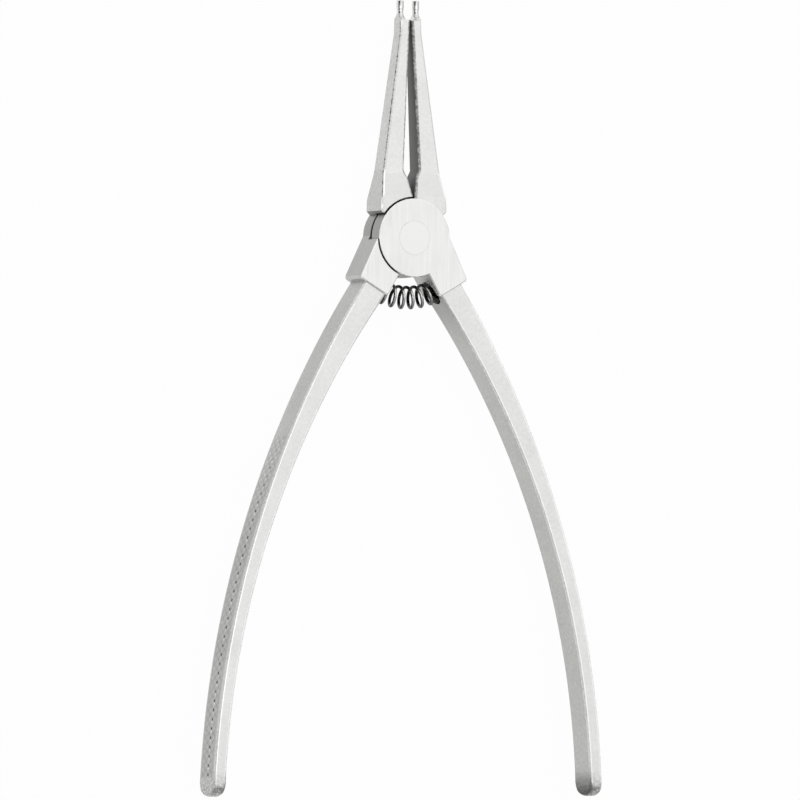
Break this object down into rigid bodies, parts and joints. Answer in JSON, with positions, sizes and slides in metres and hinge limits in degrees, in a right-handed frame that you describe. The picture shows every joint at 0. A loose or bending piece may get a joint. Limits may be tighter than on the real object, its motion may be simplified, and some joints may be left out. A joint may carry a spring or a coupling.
{
  "type": "external circlip pliers",
  "caption": "Straight-tip external circlip pliers: forged levers on a flush half-lap rivet joint, turned tips, knurled bowed handles and a coil return spring; squeezing opens the tips.",
  "frame": {"origin": "on the pivot axis, at the rear face of the lap joint on which the tool lies", "axes": "+Y along the tool to the tips, +Z along the pivot axis to the front face, +X to the right lever"},
  "size_m": [0.0982, 0.18, 0.0087],
  "materials": {
    "plated_steel": "satin chrome plate, finely ground",
    "rivet_steel": "satin, ground flush",
    "spring_steel": "dark oiled spring wire"
  },
  "bodies": {
    "left": {"left_lever": "plated_steel", "pivot_rivet": "rivet_steel", "return_spring": "spring_steel"},
    "right": {"right_lever": "plated_steel"}
  },
  "joints": [
    {"name": "squeeze", "type": "hinge", "parent": "left", "child": "right", "pos_m": [0, 0, 0.00435], "axis": [0, 0, -1], "range_deg": [0, 36], "stiffness_Nm_per_rad": 0.5, "springref_deg": -20.05, "deforming": ["return_spring"]}
  ]
}
